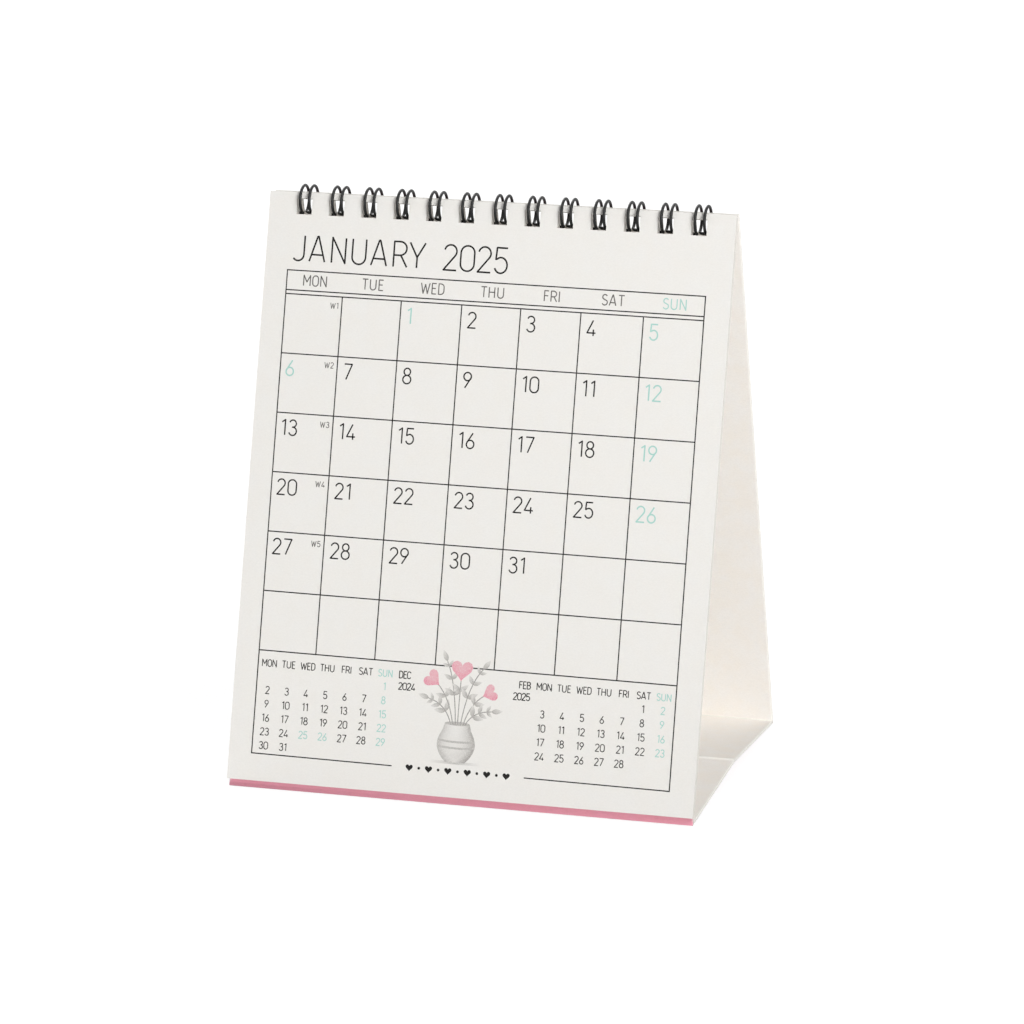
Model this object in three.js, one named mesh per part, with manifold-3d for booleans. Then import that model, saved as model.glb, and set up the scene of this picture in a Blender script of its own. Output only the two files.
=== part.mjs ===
// Desk easel calendar: a creased card stand, twelve month leaves and a twin-loop wire binding.
// Millimetres. +X runs along the binding, +Y points to the back, +Z is up.
// The origin is on the table, at the middle of the stand's footprint.

import * as THREE from 'three';
import { mergeGeometries, mergeVertices } from 'three/addons/utils/BufferGeometryUtils.js';
import Module from 'manifold-3d';

const wasm = await Module();
wasm.setup();

// Month leaves
const leafCount = 12;
const leafWidth = 120;
const leafHeight = 147.5;
const leafThickness = 0.12;
const leafGap = 0.02;

// Creased card stand
const sideMargin = 0.2; // of each leaf's side past the card
const cardThickness = 0.7;
const footMargin = 1.9; // card that shows below the leaves
const leanAngle = THREE.MathUtils.degToRad(16.4); // of each panel, from upright
const topOpening = 0.7; // between the two panels' inner top corners
const baseRise = 2.7; // of the base's middle crease above its front and rear creases
const creaseGap = 0.3; // between a flap's end and the crease it turns on
const floorGap = 0.1; // under the flaps' scored ends

// Punched holes, the same in the leaves and in both panels
const loopCount = 13;
const loopPitch = 25.4 / 3;
const holeSize = 4;
const holeMargin = 1.5; // from the upper edge to the holes

// Twin-loop wire
const wireDiameter = 0.75;
const ringRadius = 3.5; // to the wire's centre line
const ringReach = 1; // of that line in front of the first leaf
const twinSpacing = 2.4; // between the two wires of one loop
const loopShift = 0.28; // sideways, of a loop's middle from its hole's middle
const loopSkew = 0.1; // sideways, from a loop's root to its tip
const rootBend = 0.8; // radius where a loop leaves the spine
const wireClearance = 0.15; // from the wire to the holes' lower edge
const spineClearance = 0.25; // from the spine to the front panel's inner face
const closureGap = 0.2; // left open along the ring between a loop's tip and the spine
const endStub = 0.8; // of spine past the first and the last loop

// Facets
const wireSides = 6;
const ringSteps = 20;
const bendSteps = 4;
const tipSteps = 6;

// Movement
const foldedAngle = THREE.MathUtils.degToRad(2); // left between the folded panels
const tuckedAngle = THREE.MathUtils.degToRad(1.5); // left between a folded flap and its panel

const monthNames = [
  'january', 'february', 'march', 'april', 'may', 'june',
  'july', 'august', 'september', 'october', 'november', 'december',
];

// Worked-out sizes
const leafPitch = leafThickness + leafGap;
const stackDepth = leafCount * leafPitch;
const panelLength = leafHeight + footMargin;
const cardWidth = leafWidth - 2 * sideMargin;
const wireRadius = wireDiameter / 2;
const sine = Math.sin(leanAngle);
const cosine = Math.cos(leanAngle);
const holePlaces = Array.from({ length: loopCount }, (_, i) => (i - (loopCount - 1) / 2) * loopPitch);
const loopPlaces = holePlaces.map((x) => x + loopShift);

// Half of the footprint, between the middle plane and a panel's outer bottom edge.
const halfBase = panelLength * sine + cardThickness * cosine + topOpening / 2;

// The crease lines lie on the panels' inner faces, just above the table.
const creaseHeight = cardThickness + floorGap;
const creaseInset = (cardThickness + creaseHeight * sine) / cosine;
const flapSpan = halfBase - creaseInset;
const flapAngle = Math.atan2(baseRise, flapSpan);
const flapLength = Math.hypot(flapSpan, baseRise) - creaseGap / 2;
const interiorAngle = Math.PI / 2 - leanAngle - flapAngle;

// Ring centre in the front panel's plane: depth behind its front face, height up the panel.
const ringDepth = ringRadius - ringReach - stackDepth;
const ringHeight = panelLength - holeMargin - holeSize + wireClearance + wireRadius + ringRadius;

// Angles round the ring from straight down the panel, towards the back.
const rootAngle = Math.asin((cardThickness + spineClearance + wireRadius - ringDepth) / ringRadius);
const openAngle = 2 * Math.asin((wireDiameter + closureGap) / (2 * ringRadius));
const tipAngle = rootAngle + openAngle - 2 * Math.PI;

const paper = new THREE.MeshStandardMaterial({ name: 'paper', color: 0xecebe7, roughness: 0.9 });
const card = new THREE.MeshStandardMaterial({ name: 'card', color: 0xece4da, roughness: 0.85 });
const pinkCard = new THREE.MeshStandardMaterial({ name: 'pink_card', color: 0xd991a0, roughness: 0.8 });
const blackWire = new THREE.MeshStandardMaterial({ name: 'wire', color: 0x111113, roughness: 0.35 });

function namedMesh(name, geometry, material) {
  const mesh = new THREE.Mesh(geometry, material);
  mesh.name = name;
  return mesh;
}

function solidOf(geometry) {
  const bare = geometry.clone();
  bare.deleteAttribute('normal');
  bare.deleteAttribute('uv');
  const merged = mergeVertices(bare);
  const vertProperties = merged.getAttribute('position').array;
  const triVerts = Uint32Array.from(merged.getIndex().array);
  return new wasm.Manifold(new wasm.Mesh({ numProp: 3, vertProperties, triVerts }));
}

function geometryOf(solid) {
  const { vertProperties, triVerts } = solid.getMesh();
  const geometry = new THREE.BufferGeometry();
  geometry.setAttribute('position', new THREE.BufferAttribute(vertProperties, 3));
  geometry.setIndex(new THREE.BufferAttribute(triVerts, 1));
  geometry.computeVertexNormals();
  return geometry;
}

// A sheet in the XZ plane, from its lower edge at z = 0 up, with its thickness towards +Y.
function sheet(width, length, thickness) {
  return new THREE.BoxGeometry(width, thickness, length).translate(0, thickness / 2, length / 2);
}

// The row of square holes along a sheet's upper edge.
function punched(geometry, length) {
  const middle = length - holeMargin - holeSize / 2;
  const punch = new THREE.BoxGeometry(holeSize, holeSize, holeSize).translate(0, 0, middle);
  const punches = holePlaces.map((x) => punch.clone().translate(x, 0, 0));
  return geometryOf(solidOf(geometry).subtract(solidOf(mergeGeometries(punches))));
}

// Cuts a leaning panel's lower edge level, so that it stands flat on the table.
function levelFoot(geometry) {
  const places = geometry.getAttribute('position');
  for (let i = 0; i < places.count; i += 1) {
    if (places.getZ(i) < footMargin / 2) {
      places.setZ(i, Math.abs(places.getY(i)) * Math.tan(leanAngle));
    }
  }
  return geometry;
}

function frontPanel() {
  const blank = levelFoot(sheet(cardWidth, panelLength, cardThickness));
  return namedMesh('front_panel', punched(blank, panelLength), pinkCard);
}

function backPanel() {
  const blank = levelFoot(sheet(cardWidth, panelLength, cardThickness).translate(0, -cardThickness, 0));
  return namedMesh('back_panel', punched(blank, panelLength), card);
}

function monthLeaf(index) {
  const blank = sheet(leafWidth, leafHeight, leafThickness);
  const leaf = namedMesh(`leaf_${monthNames[index]}`, punched(blank, leafHeight), paper);
  leaf.position.set(0, (index - leafCount) * leafPitch, footMargin);
  return leaf;
}

// Half of the base, with its upper face through the crease line; towards is +1 for back, -1 for front.
function baseFlap(name, towards) {
  const length = flapLength - creaseGap;
  const geometry = new THREE.BoxGeometry(cardWidth, length, cardThickness);
  geometry.translate(0, towards * (creaseGap + length / 2), -cardThickness / 2);
  const flap = namedMesh(name, geometry, card);
  flap.position.set(0, -towards * flapSpan, creaseHeight);
  flap.rotation.x = towards * flapAngle;
  return flap;
}

// The binding is first a flat comb: x along the spine, arc along the loops, as the wire is bent.
// The loops are then curled round the ring axis until their tips close on the spine.
function flatComb() {
  const combLength = ringRadius * (rootAngle - tipAngle);
  const straightEnd = combLength - twinSpacing / 2;
  const points = [];

  const skewAt = (arc) => loopSkew * (arc / combLength - 0.5);
  const addPoint = (x, arc) => points.push(new THREE.Vector2(x + skewAt(arc), arc));
  const addBend = (centreX, centreArc, radius, from, to, steps) => {
    for (let i = 0; i <= steps; i += 1) {
      const turn = from + ((to - from) * i) / steps;
      addPoint(centreX + radius * Math.cos(turn), centreArc + radius * Math.sin(turn));
    }
  };
  const addStraight = (x, from, to) => {
    for (let i = 1; i < ringSteps; i += 1) {
      addPoint(x, from + ((to - from) * i) / ringSteps);
    }
  };

  const bendOffset = twinSpacing / 2 + rootBend;
  addPoint(loopPlaces[0] - bendOffset - endStub, 0);
  for (const x of loopPlaces) {
    addBend(x - bendOffset, rootBend, rootBend, -Math.PI / 2, 0, bendSteps);
    addStraight(x - twinSpacing / 2, rootBend, straightEnd);
    addBend(x, straightEnd, twinSpacing / 2, Math.PI, 0, tipSteps);
    addStraight(x + twinSpacing / 2, straightEnd, rootBend);
    addBend(x + bendOffset, rootBend, rootBend, Math.PI, 1.5 * Math.PI, bendSteps);
  }
  addPoint(loopPlaces[loopCount - 1] + bendOffset + endStub, 0);
  return points;
}

// Curls the comb's points onto the ring, with the outward direction at each one.
function curledComb() {
  return flatComb().map(({ x, y: arc }) => {
    const angle = rootAngle - arc / ringRadius;
    const outward = new THREE.Vector3(0, Math.sin(angle), -Math.cos(angle));
    const place = new THREE.Vector3(x, 0, 0).addScaledVector(outward, ringRadius);
    return { place, outward };
  });
}

// One unbroken tube along the route, with a flat cut at each end.
function wireTube(route) {
  const vertices = [];
  const faces = [];
  route.forEach(({ place, outward }, i) => {
    const before = route[Math.max(i - 1, 0)].place;
    const after = route[Math.min(i + 1, route.length - 1)].place;
    const along = new THREE.Vector3().subVectors(after, before).normalize();
    const side = new THREE.Vector3().crossVectors(along, outward).normalize();
    const up = new THREE.Vector3().crossVectors(side, along);
    for (let k = 0; k < wireSides; k += 1) {
      const turn = (2 * Math.PI * k) / wireSides;
      const vertex = place.clone();
      vertex.addScaledVector(up, wireRadius * Math.cos(turn));
      vertex.addScaledVector(side, wireRadius * Math.sin(turn));
      vertices.push(...vertex.toArray());
    }
  });
  for (let i = 0; i + 1 < route.length; i += 1) {
    for (let k = 0; k < wireSides; k += 1) {
      const a = i * wireSides + k;
      const b = i * wireSides + ((k + 1) % wireSides);
      faces.push(a, b, a + wireSides, b, b + wireSides, a + wireSides);
    }
  }
  const lastRing = (route.length - 1) * wireSides;
  for (let k = 1; k + 1 < wireSides; k += 1) {
    faces.push(0, k + 1, k);
    faces.push(lastRing, lastRing + k, lastRing + k + 1);
  }
  const geometry = new THREE.BufferGeometry();
  geometry.setAttribute('position', new THREE.Float32BufferAttribute(vertices, 3));
  geometry.setIndex(faces);
  geometry.computeVertexNormals();
  return geometry;
}

// The least free space between two stretches of the wire that are further apart along it than a loop's tip.
function leastGap(route) {
  const lengths = [0];
  for (let i = 1; i < route.length; i += 1) {
    lengths.push(lengths[i - 1] + route[i].place.distanceTo(route[i - 1].place));
  }
  let least = Infinity;
  for (let i = 0; i < route.length; i += 1) {
    for (let j = i + 1; j < route.length; j += 1) {
      if (lengths[j] - lengths[i] > Math.PI * twinSpacing) {
        least = Math.min(least, route[i].place.distanceTo(route[j].place) - wireDiameter);
      }
    }
  }
  return least;
}

const route = curledComb();

function bindingWire() {
  const wire = namedMesh('binding_wire', wireTube(route), blackWire);
  wire.position.set(0, ringDepth, ringHeight);
  return wire;
}

const frontSide = new THREE.Group();
frontSide.position.y = -halfBase;
frontSide.rotation.x = -leanAngle;
frontSide.add(frontPanel(), bindingWire());
for (let i = 0; i < leafCount; i += 1) {
  frontSide.add(monthLeaf(i));
}

const backSide = new THREE.Group();
backSide.position.y = halfBase;
backSide.rotation.x = leanAngle;
backSide.add(backPanel());

const calendar = new THREE.Group();
calendar.name = 'calendar';
calendar.add(frontSide, backSide, baseFlap('base_front_flap', 1), baseFlap('base_rear_flap', -1));

// The first leaf reaches further forward than the foot, so the stand moves to sit on its origin.
calendar.updateMatrixWorld(true);
const footprint = new THREE.Box3().setFromObject(calendar, true);
calendar.position.y = -(footprint.min.y + footprint.max.y) / 2;
calendar.updateMatrixWorld(true);

// Turning axes, all along X. A leaf goes over the top about the line where the first leaf's
// front plane meets the back panel's outer plane, so that it comes to lie on the back panel.
const ringAxis = frontSide.localToWorld(new THREE.Vector3(0, ringDepth, ringHeight));
const stackFront = stackDepth / cosine;
const turnAxis = new THREE.Vector3(0, -stackFront / 2, (halfBase + stackFront / 2) / Math.tan(leanAngle));
turnAxis.add(calendar.position);
const creaseAxis = (side) => new THREE.Vector3(0, side * flapSpan, creaseHeight).add(calendar.position);

const degrees = (angle) => `${THREE.MathUtils.radToDeg(angle).toFixed(3)} degrees`;
const spot = (point) => `y ${point.y.toFixed(4)} z ${point.z.toFixed(4)}`;
console.log(`the wire's least gap to itself is ${leastGap(route).toFixed(3)}`);
console.log(`ring axis ${spot(ringAxis)}, the stand folds ${degrees(2 * leanAngle - foldedAngle)}`);
console.log(`leaf turning axis ${spot(turnAxis)}, a leaf turns ${degrees(2 * Math.PI - 2 * leanAngle)}`);
console.log(`crease axes ${spot(creaseAxis(-1))} and ${spot(creaseAxis(1))}`);
console.log(`each flap folds ${degrees(interiorAngle - tuckedAngle)}`);

export default calendar;
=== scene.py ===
"""Looks of the desk calendar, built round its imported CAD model.

Sizes are written in millimetres and become metres where a mesh or an object is placed.
A sheet has its own coordinates: x across it, along it from its lower end, and deep into it
from its outer face.
"""

import calendar
import datetime
import math
from collections import namedtuple

import bmesh
import bpy
from mathutils import Matrix, Vector
from mathutils.geometry import delaunay_2d_cdt


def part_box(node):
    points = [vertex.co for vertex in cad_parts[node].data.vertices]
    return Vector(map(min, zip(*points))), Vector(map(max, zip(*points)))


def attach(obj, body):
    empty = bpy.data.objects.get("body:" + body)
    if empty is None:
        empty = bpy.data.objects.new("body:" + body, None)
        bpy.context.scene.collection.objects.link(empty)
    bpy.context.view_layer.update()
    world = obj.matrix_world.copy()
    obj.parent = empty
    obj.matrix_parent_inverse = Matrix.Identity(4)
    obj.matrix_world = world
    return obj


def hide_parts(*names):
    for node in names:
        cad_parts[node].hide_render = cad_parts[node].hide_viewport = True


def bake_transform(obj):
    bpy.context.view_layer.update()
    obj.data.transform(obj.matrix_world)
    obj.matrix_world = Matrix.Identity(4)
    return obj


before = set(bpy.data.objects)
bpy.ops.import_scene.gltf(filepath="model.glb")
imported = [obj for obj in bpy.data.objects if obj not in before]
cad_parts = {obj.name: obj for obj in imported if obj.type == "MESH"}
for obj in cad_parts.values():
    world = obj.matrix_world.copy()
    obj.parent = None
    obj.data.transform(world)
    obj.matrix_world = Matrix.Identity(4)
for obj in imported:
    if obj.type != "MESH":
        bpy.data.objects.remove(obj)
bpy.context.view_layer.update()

# A millimetre, in metres
MM = 0.001

# The CAD model's sizes
LEAF_WIDTH = 120
LEAF_HEIGHT = 147.5
LEAF_THICKNESS = 0.12
LEAF_PITCH = 0.14
CARD_WIDTH = 119.6
CARD_THICKNESS = 0.7
FOOT_MARGIN = 1.9
LEAN = math.radians(16.4)
BASE_RISE = 2.7
CREASE_HEIGHT = 0.8
LOOP_COUNT = 13
LOOP_PITCH = 25.4 / 3
HOLE_SIZE = 4
HOLE_MARGIN = 1.5
WIRE_RADIUS = 0.375
RING_RADIUS = 3.5
RING_REACH = 1
TWIN_SPACING = 2.4
LOOP_SHIFT = 0.28
LOOP_SKEW = 0.1
ROOT_BEND = 0.8
WIRE_CLEARANCE = 0.15
SPINE_CLEARANCE = 0.25
CLOSURE_GAP = 0.2
END_STUB = 0.8

MONTHS = [name.lower() for name in calendar.month_name[1:]]
YEAR = 2025

# Sizes worked out from them, as in the CAD model
PANEL_LENGTH = LEAF_HEIGHT + FOOT_MARGIN
STACK_DEPTH = len(MONTHS) * LEAF_PITCH
HOLE_PLACES = [(i - (LOOP_COUNT - 1) / 2) * LOOP_PITCH for i in range(LOOP_COUNT)]
LOOP_PLACES = [x + LOOP_SHIFT for x in HOLE_PLACES]
CREASE_ALONG = (CREASE_HEIGHT + CARD_THICKNESS * math.sin(LEAN)) / math.cos(LEAN)
CREASE_INSET = CARD_THICKNESS * math.cos(LEAN) + CREASE_ALONG * math.sin(LEAN)

front_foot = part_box("front_panel")[0].y / MM
back_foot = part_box("back_panel")[1].y / MM
middle = (front_foot + back_foot) / 2
flap_span = (back_foot - front_foot) / 2 - CREASE_INSET
flap_angle = math.atan2(BASE_RISE, flap_span)
flap_length = math.hypot(flap_span, BASE_RISE)


def linear(red, green, blue):
    """A colour written as sRGB steps of 255, in linear light."""
    steps = [step / 255 for step in (red, green, blue)]
    return [s / 12.92 if s <= 0.04045 else ((s + 0.055) / 1.055) ** 2.4 for s in steps] + [1]


def grey(level):
    return [level, level, level, 1]


def scaled(colour, factor):
    """A colour made darker or lighter."""
    return [channel * factor for channel in colour[:3]] + [1]


PAPER = linear(236, 234, 230)
CREAM = linear(244, 241, 237)
CORE = linear(228, 226, 220)
# Pale cream for worn edges; along the base's middle lip it is also a painted highlight
RUBBED_AND_HIGHLIGHT = linear(248, 247, 242)
PINK = linear(231, 157, 175)
PALE_PINK = linear(236, 196, 203)
INK = linear(34, 32, 31)
MINT = linear(166, 208, 200)
SOFT_INK = linear(96, 93, 90)
PENCIL = linear(112, 106, 102)
BLUSH = linear(224, 124, 150)
WIRE_BLACK = linear(16, 16, 17)
WHITE = grey(1)


class Material:
    """A material and short ways to build its nodes."""

    def __init__(self, name):
        self.material = bpy.data.materials.new(name)
        self.material.use_nodes = True
        self.tree = self.material.node_tree
        self.shader = self.tree.nodes["Principled BSDF"]

    def feed(self, socket, value):
        if isinstance(value, bpy.types.NodeSocket):
            self.tree.links.new(value, socket)
        else:
            socket.default_value = value

    def add(self, kind, inputs=None, **settings):
        node = self.tree.nodes.new("ShaderNode" + kind)
        for key, value in settings.items():
            setattr(node, key, value)
        for key, value in (inputs or {}).items():
            self.feed(node.inputs[key], value)
        return node

    def noise(self, size, detail=3, stretch=(1, 1, 1), roughness=0.55):
        """Noise whose grains are about size millimetres across."""
        place = self.add("TexCoord").outputs["Object"]
        scale = [1 / (size * MM * share) for share in stretch]
        mapped = self.add("Mapping", {"Vector": place, "Scale": scale}).outputs["Vector"]
        sockets = {"Vector": mapped, "Scale": 1, "Detail": detail, "Roughness": roughness}
        return self.add("TexNoise", sockets).outputs["Fac"]

    def ramp(self, factor, low, high, dark, light):
        """A colour between dark and light as factor goes from low to high."""
        node = self.add("ValToRGB", {"Fac": factor})
        first, last = node.color_ramp.elements
        first.position, last.position = low, high
        first.color, last.color = dark, light
        return node.outputs["Color"]

    def mix(self, factor, a, b, blend_type="MIX"):
        factor_socket, colour_a, colour_b, colour_out = 0, 6, 7, 2
        node = self.add("Mix", data_type="RGBA", blend_type=blend_type)
        self.feed(node.inputs[factor_socket], factor)
        self.feed(node.inputs[colour_a], a)
        self.feed(node.inputs[colour_b], b)
        return node.outputs[colour_out]

    def math(self, operation, a, b):
        node = self.add("Math", operation=operation)
        self.feed(node.inputs[0], a)
        self.feed(node.inputs[1], b)
        return node.outputs[0]

    def remap(self, value, low, high, to_low, to_high):
        """A value between low and high, brought to between to_low and to_high."""
        sockets = {
            "Value": value,
            "From Min": low,
            "From Max": high,
            "To Min": to_low,
            "To Max": to_high,
        }
        return self.add("MapRange", sockets).outputs["Result"]

    def bump(self, height, strength, distance):
        """Gives the surface relief, with distance in millimetres."""
        sockets = {"Height": height, "Strength": strength, "Distance": distance * MM}
        self.feed(self.shader.inputs["Normal"], self.add("Bump", sockets).outputs["Normal"])

    def attribute(self, name, output):
        return self.add("Attribute", attribute_name=name).outputs[output]

    def finish(self, **sockets):
        """Sets the shader's sockets, with an underscore for each space in a name."""
        for key, value in sockets.items():
            self.feed(self.shader.inputs[key.replace("_", " ")], value)
        return self.material


def fibrous(name, colour, grain, cloud, depth, wear_and_highlight=None, tint=None):
    """Uncoated paper or board: clouded, flecked with fibres, and slightly felted.

    grain and cloud are how much its tone varies, and depth is its felt's, in millimetres.
    wear_and_highlight is its colour where the attribute wear_and_highlight is 1: worn edges, and a
    painted highlight along the base's middle lip. tint names the attribute that shades it.
    """
    made = Material(name)
    fleck = made.noise(0.32, detail=5, stretch=(1.6, 1, 1), roughness=0.65)
    clouds = made.noise(4.5, detail=4)
    felt = made.noise(1.1, detail=2, stretch=(1.3, 1, 1))
    flecked = made.ramp(fleck, 0.3, 0.7, scaled(colour, 1 - grain), scaled(colour, 1 + grain * 0.4))
    warm = [1, 1 - cloud * 0.6, 1 - cloud * 1.5, 1]
    clouded = made.mix(1, flecked, made.ramp(clouds, 0.35, 0.65, warm, WHITE), "MULTIPLY")
    if tint:
        bare = made.remap(made.noise(0.22), 0.42, 0.66, 0, 0.45)
        drawn = made.mix(bare, made.attribute(tint, "Color"), WHITE)
        clouded = made.mix(1, clouded, drawn, "MULTIPLY")
    # Lighter in patches where the attribute is 1: worn edges, and a painted highlight along the base's
    # middle lip
    if wear_and_highlight:
        patches = made.remap(felt, 0.35, 0.6, 0.35, 1)
        worn_and_highlit = made.math("MULTIPLY", made.attribute("wear_and_highlight", "Fac"), patches)
        clouded = made.mix(worn_and_highlit, clouded, wear_and_highlight)
    height = made.math("ADD", made.math("MULTIPLY", fleck, 0.5), felt)
    made.bump(height, 0.5, depth)
    rough = made.remap(felt, 0.3, 0.7, 0.82, 0.95)
    return made.finish(Base_Color=clouded, Roughness=rough, Specular_IOR_Level=0.3)


def flat_ink(name, colour):
    return Material(name).finish(Base_Color=colour, Roughness=0.8, Specular_IOR_Level=0.2)


def wire_coating():
    """Black nylon over steel: smooth, with a faint orange-peel surface."""
    made = Material("wire_coating")
    peel = made.noise(0.5, detail=2)
    made.bump(peel, 0.25, 0.02)
    rough = made.remap(made.noise(2.5), 0.3, 0.7, 0.38, 0.5)
    return made.finish(Base_Color=WIRE_BLACK, Roughness=rough, Specular_IOR_Level=0.35)


paper = fibrous("leaf_paper", PAPER, grain=0.035, cloud=0.012, depth=0.03, tint="tint")
cream = fibrous("inner_card", CREAM, grain=0.05, cloud=0.03, depth=0.05, wear_and_highlight=RUBBED_AND_HIGHLIGHT)
core = fibrous("cut_edge", CORE, grain=0.04, cloud=0.01, depth=0.03)
pink = fibrous("printed_card", PINK, grain=0.06, cloud=0.03, depth=0.04, wear_and_highlight=PALE_PINK)
card_materials = [pink, cream, core]
PINK_FACE, CREAM_FACE, CUT_FACE = range(3)
ink = flat_ink("black_ink", INK)
mint = flat_ink("mint_ink", MINT)
soft_ink = flat_ink("grey_ink", SOFT_INK)
page_materials = [paper, ink, mint, soft_ink]
PAPER_FACE, INK_FACE, MINT_FACE, SOFT_FACE = range(4)


def mesh_object(name, vertices, faces, face_materials, materials, smooth=False):
    """An object from vertices in millimetres, with the number of each face's material."""
    mesh = bpy.data.meshes.new(name)
    mesh.from_pydata([Vector(v) * MM for v in vertices], [], faces)
    for material in materials:
        mesh.materials.append(material)
    mesh.polygons.foreach_set("material_index", face_materials)
    mesh.polygons.foreach_set("use_smooth", [smooth] * len(faces))
    made = bpy.data.objects.new(name, mesh)
    bpy.context.scene.collection.objects.link(made)
    return made


def outward(made):
    """Turns a closed mesh's faces outward."""
    shape = bmesh.new()
    shape.from_mesh(made.data)
    bmesh.ops.recalc_face_normals(shape, faces=shape.faces)
    shape.to_mesh(made.data)
    shape.free()
    return made


# Where a sheet's own coordinates lie on each stretch of the stand

front_side = Matrix.Translation((0, front_foot, 0)) @ Matrix.Rotation(-LEAN, 4, "X")
back_side = Matrix.Translation((0, back_foot, 0)) @ Matrix.Rotation(LEAN, 4, "X")
front_crease = Vector((0, middle - flap_span, CREASE_HEIGHT))
back_crease = Vector((0, middle + flap_span, CREASE_HEIGHT))


def on_front(x, along, deep):
    return front_side @ Vector((x, deep, along))


def on_back(x, along, deep):
    return back_side @ Vector((x, -deep, along))


def on_front_flap(x, along, deep):
    turned = Matrix.Rotation(flap_angle, 4, "X") @ Vector((x, along, deep - CARD_THICKNESS))
    return front_crease + turned


def on_back_flap(x, along, deep):
    turned = Matrix.Rotation(-flap_angle, 4, "X") @ Vector((x, -along, deep - CARD_THICKNESS))
    return back_crease + turned


# Card

# How far an edge is rounded over, and how far its wear reaches
EDGE_ROUND = 0.07
WORN_BAND = 0.6
# The raised lip along the middle crease of the base: distances from it, and rises there
# The lip's top takes the lighter worn colour, which paints a highlight along it
RIDGE_LIP = ((0.8, 0), (0.4, 0.14), (0.15, 0.2), (0, 0.17))


def slab(name, place, start, end, punched=False, open_end=False):
    """One stretch of the card stand. Its outer face is pink and its inner face cream.

    Its side edges are rounded over, and a crease hides its lower end. Its upper end is rounded
    too, or where open_end is set, the two halves of the base meet there on a raised lip whose top
    is coloured lighter, as worn card and as a painted highlight.
    """
    half = CARD_WIDTH / 2
    across = [-half, -half + EDGE_ROUND, -half + WORN_BAND]
    hole_columns = []
    if punched:
        for x in HOLE_PLACES:
            hole_columns.append(len(across))
            across += [x - HOLE_SIZE / 2, x + HOLE_SIZE / 2]
    across += [half - WORN_BAND, half - EDGE_ROUND, half]
    along = [start, start + WORN_BAND]
    hole_row = len(along)
    if punched:
        along += [end - HOLE_MARGIN - HOLE_SIZE, end - HOLE_MARGIN]
    if open_end:
        along += [end - distance for distance, _ in RIDGE_LIP]
    else:
        along += [end - WORN_BAND, end - EDGE_ROUND, end]
    last_column, last_row = len(across) - 1, len(along) - 1
    lift = [0] * len(along)
    if open_end:
        lift[-len(RIDGE_LIP):] = [rise for _, rise in RIDGE_LIP]

    def is_solid(i, j):
        is_hole = j == hole_row and i in hole_columns
        return 0 <= i < last_column and 0 <= j < last_row and not is_hole

    vertices, wear_and_highlight, numbers = [], [], {}

    def vertex(i, j, inner):
        key = (i, j, inner)
        if key not in numbers:
            at_side = i in (0, last_column)
            at_end = j == last_row
            inset = EDGE_ROUND if at_side or (at_end and not open_end) else 0
            deep = CARD_THICKNESS - inset + lift[j] if inner else inset
            place_along = along[j]
            if open_end and at_end:
                place_along -= (CARD_THICKNESS - deep) * math.tan(flap_angle)
            numbers[key] = len(vertices)
            vertices.append(place(across[i], place_along, deep))
            # 1 at the side edges and the upper end: worn card there, and on the base's middle lip a painted
            #                                        highlight too
            wear_and_highlight.append(float(at_side or i in (1, last_column - 1) or j >= last_row - 1))
        return numbers[key]

    faces, kinds = [], []
    for i in range(last_column):
        for j in range(last_row):
            if not is_solid(i, j):
                continue
            corners = [(i, j), (i + 1, j), (i + 1, j + 1), (i, j + 1)]
            faces.append([vertex(*corner, False) for corner in corners])
            kinds.append(PINK_FACE)
            faces.append([vertex(*corner, True) for corner in reversed(corners)])
            kinds.append(CREAM_FACE)
            neighbours = [(i, j - 1), (i + 1, j), (i, j + 1), (i - 1, j)]
            for k, neighbour in enumerate(neighbours):
                if not is_solid(*neighbour):
                    a, b = corners[k], corners[(k + 1) % len(corners)]
                    faces.append([vertex(*a, False), vertex(*b, False), vertex(*b, True), vertex(*a, True)])
                    kinds.append(CUT_FACE)
    made = outward(mesh_object(name, vertices, faces, kinds, card_materials))
    made.data.attributes.new("wear_and_highlight", "FLOAT", "POINT").data.foreach_set("value", wear_and_highlight)
    return made


BEND_STEPS, BEAD_STEPS = 22, 6
# How far a bend's outer side and its inner bead may reach from its axis
CORNER_REACH = 1.12
BEAD_RADIUS = 0.24
# How far from its middle a bend still turns with both sides, and its size at its ends
BLEND_REACH = 0.35
END_SIZE = 0.9


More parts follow.
